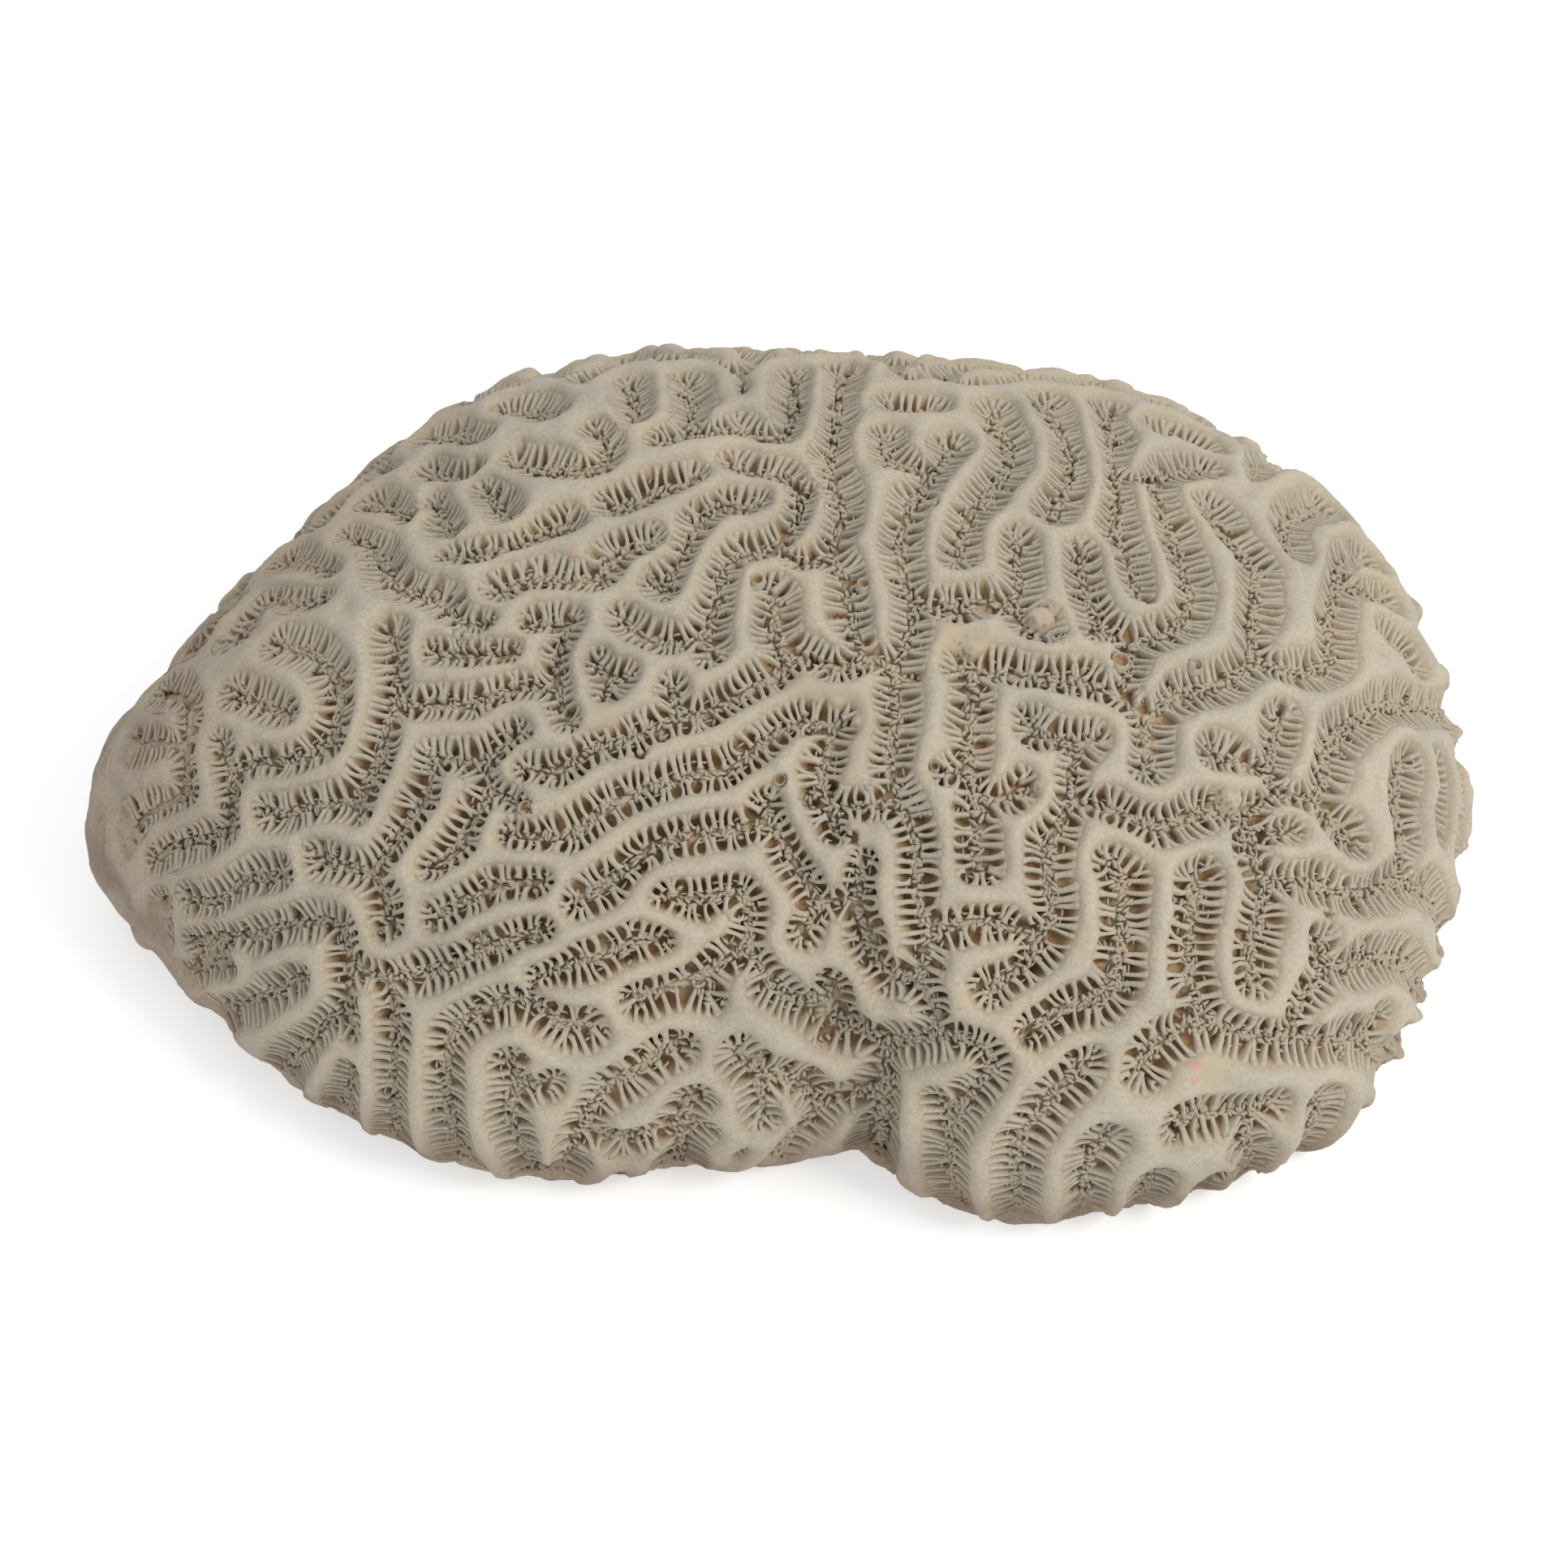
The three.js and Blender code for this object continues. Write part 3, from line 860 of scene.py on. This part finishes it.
def septa_points(plan):
    """The rings of four points that run down each septum, and their painted shade."""
    n = len(plan)
    p, up, inwards, along = axes_of(plan)
    length, strong = plan[:, 13], plan[:, 14]
    most = (SWING, BOW, RAISED, WIDER)
    swing, bow, raised, wider = (size * RANDOM.standard_normal(n) for size in most)
    inwards = unit(inwards + swing[:, None] * along)
    rings, painted_shade = [], []
    for share, half, bevel in SEPTUM:
        s = length * share if share >= 0 else np.full(n, share)
        root = np.interp(s, [SEPTUM[0][0], SEPTUM[1][0]], ROOT_DEPTH)
        sunk = root + drop_at(np.maximum(s, 0)) - raised * max(share, 0)
        side = bow * math.sin(math.pi * max(share, 0)) * 1.6
        base = p + inwards * s[:, None] + along * side[:, None]
        half = np.clip(half * (1 + wider), 0.1, 0.5)
        for across, down in ((0, SEPTUM_FOOT), (-1, sunk + bevel), (0, sunk), (1, sunk + bevel)):
            depth = np.broadcast_to(down, (n,)) * strong
            rings.append(base + along * (across * half)[:, None] - up * depth[:, None])
            # painted shade: darkest at the buried foot, and darker towards the inner end along the top
            shallow = 0.05 + 0.25 * np.maximum(s, 0) / FALL_LENGTH
            painted_shade.append(np.where(depth > 4 * strong, 3.0, shallow))
    return np.stack(rings, axis=1), np.stack(painted_shade, axis=1)


def septa_solids(plan):
    """Thin closed wedges, one to a row of plan: (points, quads, painted shade)."""
    points, painted_shade = septa_points(plan)
    quads = []
    last = 4 * (len(SEPTUM) - 1)
    for k in range(0, last, 4):
        for c in range(4):
            d = (c + 1) % 4
            quads.append([k + c, k + d, k + 4 + d, k + 4 + c])
    quads += [[3, 2, 1, 0], [last, last + 1, last + 2, last + 3]]
    offset = (np.arange(len(plan)) * 4 * len(SEPTUM))[:, None, None]
    return points.reshape(-1, 3), np.array(quads) + offset, painted_shade.reshape(-1)


# ---- the spongy strip along each valley's middle, and the rods between septa ----


def random_from(least, more, n):
    """n random numbers from least to least + more."""
    return least + more * RANDOM.random(n)


def rods(place, up, along, half_length, thick):
    """Short arched rods about each place: (points, faces, painted shade)."""
    n = len(place)
    side = np.cross(up, along)
    rings = []
    for share, drop in ((-1, 0.2), (0, 0), (1, 0.2)):
        centre = place + along * (share * half_length)[:, None] - up * drop
        for across, rise in ((-1, -0.6), (0, 1), (1, -0.6)):
            rings.append(centre + (side * across + up * rise) * thick[:, None])
    made = np.stack(rings, axis=1).reshape(-1, 3)
    quads = []
    for k in (0, 3):
        for c in range(3):
            d = (c + 1) % 3
            quads.append([k + d, k + c, k + 3 + c, k + 3 + d])
    ends = [[0, 1, 2], [8, 7, 6]]
    offset = (np.arange(n) * 9)[:, None, None]
    # painted shade, darker at the rods' ends than in their middles
    painted_shade = np.tile([0.6] * 3 + [0.2] * 3 + [0.6] * 3, n)
    return made, [np.array(quads) + offset, np.array(ends) + offset], painted_shade


def struts(dome):
    """Rods laid every way over the strips, where the relief is strong."""
    spongy = (dome.middle < STRIP) | (dome.gaps > 0.5)
    on_strip = np.nonzero(spongy & (dome.full > 0.55))[0]
    chosen = on_strip[RANDOM.random(len(on_strip)) < STRUT_SHARE]
    n = len(chosen)
    up = dome.normals[chosen]
    along = unit(np.cross(up, RANDOM.standard_normal((n, 3))))
    aside = 0.2 * RANDOM.standard_normal((n, 1)) * np.cross(up, along)
    top = random_from(*STRUT_DEPTH, n) * dome.full[chosen]
    place = dome.points[chosen] + aside - up * top[:, None]
    return rods(place, up, along, random_from(*STRUT_REACH, n), random_from(*STRUT_THICK, n))


def bridges(plan):
    """Rods that cross from some of the septa to the next ones."""
    plan = plan[RANDOM.random(len(plan)) < BRIDGE_SHARE]
    n = len(plan)
    p, up, inwards, along = axes_of(plan)
    s = plan[:, 13] * random_from(*BRIDGE_PLACE, n)
    depth = (BRIDGE_DEPTH + drop_at(s)) * plan[:, 14]
    place = p + inwards * s[:, None] + along * (PITCH / 2) - up * depth[:, None]
    return rods(place, up, along, np.full(n, BRIDGE_REACH), random_from(*BRIDGE_THICK, n))


# ---- borings ----


def cups(borings, dome):
    """Round shallow holes with a rim level with the ground: (points, quads, painted shade)."""
    tree = tree_of(dome.shaped)
    around = np.linspace(0, 2 * math.pi, 20, endpoint=False)
    n = len(around)
    points, quads, painted_shade = [], [], []
    for place, radius in borings:
        nearest = tree.find(place)[1]
        up = dome.normals[nearest]
        side = unit(np.cross(up, [0.3, 0.9, 0.1]))
        ahead = np.cross(up, side)
        centre = place + up * ((dome.shaped[nearest] - place) @ up)
        first = len(points)
        # the painted shade darkens the inside of each boring
        for out, rise, boring_shade in BORING:
            for angle in around:
                spoke = side * math.cos(angle) + ahead * math.sin(angle)
                points.append(centre + spoke * radius * out + up * rise)
                painted_shade.append(boring_shade)
        for k in range(len(BORING) - 1):
            for c in range(n):
                a, b = first + k * n + c, first + k * n + (c + 1) % n
                quads.append([a, b, b + n, a + n])
    return np.array(points), [np.array(quads)], np.array(painted_shade)


# ---- meshes ----


def shaded(points, spots, painted_shade, pore_shade=0.0):
    """The values that SHADING names, at each point."""
    blank = np.zeros(len(points))
    stain = closeness(points, spots["stain"])
    worn = closeness(points, spots["worn"])
    return np.stack([blank + painted_shade, blank + pore_shade, stain, worn, foot_and_left_shade(points)], axis=1)


def new_object(name, data):
    """A new object in the scene that has data, a mesh, a light or a camera."""
    made = bpy.data.objects.new(name, data)
    bpy.context.scene.collection.objects.link(made)
    return made


def piece(name, points, faces, shading, material):
    """A shaded mesh from faces given as arrays of equal-sized rows, in millimetres."""
    mesh = bpy.data.meshes.new(name)
    faces = [f.reshape(-1, f.shape[-1]) for f in faces]
    sizes = np.concatenate([np.full(len(f), f.shape[1]) for f in faces])
    corners = np.concatenate([f.ravel() for f in faces])
    mesh.vertices.add(len(points))
    mesh.vertices.foreach_set("co", (points * MM).astype(np.float32).ravel())
    mesh.loops.add(len(corners))
    mesh.loops.foreach_set("vertex_index", corners.astype(np.int32))
    mesh.polygons.add(len(sizes))
    mesh.polygons.foreach_set("loop_start", np.concatenate([[0], np.cumsum(sizes)[:-1]]))
    mesh.polygons.foreach_set("use_smooth", np.ones(len(sizes), bool))
    mesh.update(calc_edges=True)
    mesh.validate()
    for label, values in zip(SHADING, shading.astype(np.float32).T):
        mesh.attributes.new(label, "FLOAT", "POINT").data.foreach_set("value", values.copy())
    mesh.materials.append(material)
    body = new_object(name, mesh)
    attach(body, "root")
    return body


def cut_face(points, quads):
    """The flat cut as a fan from its middle out to the rim of the given quads."""
    sides = sides_of(quads)
    sorted_sides = np.sort(sides, axis=1)
    _, first, count = np.unique(sorted_sides, axis=0, return_index=True, return_counts=True)
    used, rim = np.unique(sides[first[count == 1]], return_inverse=True)
    rim = rim.reshape(-1, 2)
    middle = points[used].mean(axis=0)
    fan = np.concatenate([rim, np.full((len(rim), 1), len(used))], axis=1)
    return np.concatenate([points[used], middle[None]]), [fan]


def parts_of(points, faces, shading, chosen):
    """The chosen faces with only the points that they use."""
    used, faces_kept = np.unique(faces[chosen], return_inverse=True)
    return points[used], [faces_kept.reshape(faces[chosen].shape)], shading[used]


# ---- materials ----

# Screen colours from 0 to 255, with the places of the ramps that they are the stops of.
# Painted shade: the colour turns darker and browner the deeper a point lies in the valleys, septa and
# borings.
SHADE_BY_DEPTH = [
    (0, (179, 173, 162)), (0.3, (182, 170, 151)), (0.6, (172, 150, 123)), (1, (160, 131, 98)),
]
DEEPEST = 2.8  # the recess at the last of these
BROAD = [(0.32, (232, 230, 226)), (0.5, (243, 240, 235)), (0.68, (248, 243, 235))]
FINE = [(0.3, (228, 222, 212)), (0.65, (255, 255, 255))]
# Painted shade in the pores of the spongy strips: darker cells.
PORE_SHADE = [(0.15, (176, 158, 136)), (0.5, (255, 255, 255))]
# Painted shade low down and at the left end, in uneven patches.
LOW_SHADE_PATCHES = [(0.38, (230, 221, 216)), (0.62, (200, 189, 183))]
WORN_COLOUR = (166, 152, 131)
STAIN_COLOUR = (186, 128, 114)


def linear(colour):
    """A screen colour, with no part of it near black, as linear light."""
    return (*(((c / 255 + 0.055) / 1.055) ** 2.4 for c in colour), 1)


def node(tree, kind, output, inputs, **settings):
    """The output of a new node whose inputs are linked to outputs or set to constants."""
    made = tree.nodes.new("ShaderNode" + kind)
    for name, value in settings.items():
        setattr(made, name, value)
    for name, value in inputs.items():
        if isinstance(value, bpy.types.NodeSocket):
            tree.links.new(value, made.inputs[name])
        else:
            made.inputs[name].default_value = value
    return made.outputs[output]


def coordinates(tree):
    return node(tree, "TexCoord", "Object", {})


def attribute(tree, label):
    return node(tree, "Attribute", "Fac", {}, attribute_name=label)


def grain(tree, scale, detail=3.0, rough=0.55):
    inputs = {"Vector": coordinates(tree), "Scale": scale, "Detail": detail, "Roughness": rough}
    return node(tree, "TexNoise", "Fac", inputs)


def ramp(tree, value, stops):
    colour = node(tree, "ValToRGB", "Color", {"Fac": value})
    elements = colour.node.color_ramp.elements
    while len(elements) < len(stops):
        elements.new(0.5)
    for element, (position, tint) in zip(elements, stops):
        element.position = position
        element.color = linear(tint)
    return colour


def mix(tree, kind, amount, first, second):
    inputs = {"Factor": amount, "A": first, "B": second}
    return node(tree, "Mix", "Result", inputs, data_type="RGBA", blend_type=kind)


def remapped(tree, value, low, high):
    return node(tree, "MapRange", "Result", {"To Min": low, "To Max": high, "Value": value})


def coral_colour(tree):
    # painted shade, darker and browner with depth
    depth = {"Value": attribute(tree, "painted_shade"), "From Max": DEEPEST}
    colour = ramp(tree, node(tree, "MapRange", "Result", depth), SHADE_BY_DEPTH)
    colour = mix(tree, "MULTIPLY", 1.0, colour, ramp(tree, grain(tree, 110), BROAD))
    colour = mix(tree, "MULTIPLY", 0.7, colour, ramp(tree, grain(tree, 2600, 4.0), FINE))
    # painted shade in the pores, on the spongy strips only
    cells = node(tree, "TexVoronoi", "Distance", {"Vector": coordinates(tree), "Scale": 1500})
    colour = mix(tree, "MULTIPLY", attribute(tree, "pore_shade"), colour, ramp(tree, cells, PORE_SHADE))
    # painted shade in uneven patches, low down and at the left end
    low_shade = ramp(tree, grain(tree, 190, 4.0), LOW_SHADE_PATCHES)
    colour = mix(tree, "MULTIPLY", attribute(tree, "foot_and_left_shade"), colour, low_shade)
    for label, tint, most in (("worn", WORN_COLOUR, 0.75), ("stain", STAIN_COLOUR, 0.7)):
        amount = remapped(tree, attribute(tree, label), 0, most)
        colour = mix(tree, "MIX", amount, colour, linear(tint))
    return colour


def new_material(name):
    """A new material, with its node tree and that tree's shader."""
    made = bpy.data.materials.new(name)
    made.use_nodes = True
    return made, made.node_tree, made.node_tree.nodes["Principled BSDF"]


def coral_material():
    made, tree, shader = new_material("coral_skeleton")
    tree.links.new(coral_colour(tree), shader.inputs["Base Color"])
    tree.links.new(remapped(tree, grain(tree, 500), 0.8, 0.98), shader.inputs["Roughness"])
    shader.inputs["Specular IOR Level"].default_value = 0.25
    pits = {"Height": grain(tree, 2200, 4.0, 0.6), "Strength": 0.5, "Distance": 0.0002}
    tree.links.new(node(tree, "Bump", "Normal", pits), shader.inputs["Normal"])
    return made


def floor_material():
    made, _, shader = new_material("floor")
    shader.inputs["Base Color"].default_value = (0.6, 0.6, 0.6, 1)
    shader.inputs["Roughness"].default_value = 0.9
    shader.inputs["Emission Color"].default_value = (1, 1, 1, 1)
    shader.inputs["Emission Strength"].default_value = 0.48
    return made


# ---- the colony ----


def grid_of(source, step, rounds):
    """The dome as (points, quads, edges, flat), evened out everywhere but on the flat cut."""
    points, quads = remeshed(source, step)
    edges = edges_of(quads)
    flat = points[:, 2] < CUT_HEIGHT
    return spread(points, edges, rounds, held=flat), quads, edges, flat


def patterned(source):
    """The dome with its pattern, the plan of its septa, and the places of its marks."""
    coarse, coarse_quads, _, _ = grid_of(source, COARSE_STEP, 8)
    surface = BVHTree.FromPolygons(coarse.tolist(), coarse_quads.tolist())
    points, quads, edges, flat = grid_of(source, FINE_STEP, 30)
    triangles = halves_of(quads)
    normals = normals_of(points, triangles)
    kinds = {"boring": BORINGS, "opening": OPENINGS, "worn": WORN, "stain": STAINS}
    spots = {kind: marked(marks, surface) for kind, marks in kinds.items()}

    middle = pattern(points, edges, coarse, halves_of(coarse_quads), drawn_middles(surface))
    full = np.where(flat, 0, relief(points))
    tree = tree_of(points)
    loops = contours(points, normals, triangles, middle, SHOULDER)
    rows = septa_starts(loops, tree, middle)
    plan = septa_plan(rows, tree, middle, full, spots["opening"] + spots["worn"] + spots["boring"])

    gaps = septa_gaps(points, middle, plan)
    height = np.where(flat, 0, ground(points, middle, gaps, spots))
    shaped = points + normals * height[:, None]
    shaped[:, 2] = np.maximum(shaped[:, 2], 0)
    dome = SimpleNamespace(
        points=points, quads=quads, normals=normals, flat=flat,
        middle=middle, full=full, gaps=gaps, height=height, shaped=shaped,
    )
    return dome, plan, spots


def skeleton(dome, spots, material):
    """The ground as a front, a back and the flat cut, sunk where the borings go."""
    strip = np.maximum(1 - smoothstep(dome.middle, STRIP, STRIP + 0.4), dome.gaps)
    # painted shade, deepest in the valleys and lighter on the spongy strips, which get painted shade of
    # pores instead
    painted_shade = np.maximum(0, -dome.height) * (1 - 0.65 * strip)
    shading = shaded(dome.shaped, spots, painted_shade, dome.full * strip)
    points = dome.shaped.copy()
    for place, radius in spots["boring"]:
        inside = np.linalg.norm(dome.points - place, axis=1) < 0.9 * radius
        points[inside] -= 1.5 * dome.normals[inside]
    under = dome.flat[dome.quads].all(axis=1)
    front = points[dome.quads[:, 0], 1] < 0
    fan_points, fan = cut_face(points, dome.quads[under])
    shares = {
        "skeleton_front": parts_of(points, dome.quads, shading, front & ~under),
        "skeleton_back": parts_of(points, dome.quads, shading, ~front & ~under),
        "skeleton_cut": (fan_points, fan, shaded(fan_points, spots, 0)),
    }
    for name, share in shares.items():
        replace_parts(piece(name, *share, material), "coral")


def septa(plan, spots, material):
    points, quads, painted_shade = septa_solids(plan)
    shading = shaded(points, spots, painted_shade)
    left = plan[:, 0] < SEPTA_SPLIT[0]
    right = plan[:, 0] > SEPTA_SPLIT[1]
    for name, chosen in (("left", left), ("middle", ~left & ~right), ("right", right)):
        piece("septa_" + name, *parts_of(points, quads, shading, chosen), material)


def coral():
    dome, plan, spots = patterned(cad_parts["coral"])
    material = coral_material()

    def detail(name, points, faces, painted_shade):
        piece(name, points, faces, shaded(points, spots, painted_shade), material)

    detail("borings", *cups(spots["boring"], dome))
    skeleton(dome, spots, material)
    septa(plan, spots, material)
    detail("columella", *struts(dome))
    detail("bridges", *bridges(plan))


# ---- the studio ----


def studio_floor():
    mesh = bpy.data.meshes.new("floor")
    mesh.from_pydata([(-3, -3, 0), (3, -3, 0), (3, 3, 0), (-3, 3, 0)], [], [(0, 1, 2, 3)])
    mesh.materials.append(floor_material())
    new_object("floor", mesh)


def key_light():
    light = bpy.data.lights.new("key", "AREA")
    light.size = 0.34
    light.energy = 4.0
    light.color = (1, 0.965, 0.9)
    made = new_object("key", light)
    made.location = (0.52, -0.26, 0.64)
    towards = Vector((0, 0, 0.02)) - made.location
    made.rotation_euler = towards.to_track_quat("-Z", "Y").to_euler()


def studio():
    world = bpy.data.worlds.new("studio")
    world.use_nodes = True
    sky = world.node_tree.nodes["Background"].inputs
    sky["Color"].default_value = (0.97, 0.985, 1, 1)
    sky["Strength"].default_value = 0.97
    scene = bpy.context.scene
    scene.world = world
    scene.view_settings.view_transform = "Standard"
    key_light()
    studio_floor()


def camera():
    lens = bpy.data.cameras.new("camera")
    lens.lens = LENS
    lens.sensor_width = 36
    lens.clip_start = 0.01
    made = new_object("camera", lens)
    back = Vector(view_axes()[2])
    made.location = Vector(TARGET * MM) + back * DISTANCE * MM
    made.rotation_euler = back.to_track_quat("Z", "Y").to_euler()
    bpy.context.scene.camera = made


coral()
studio()
camera()
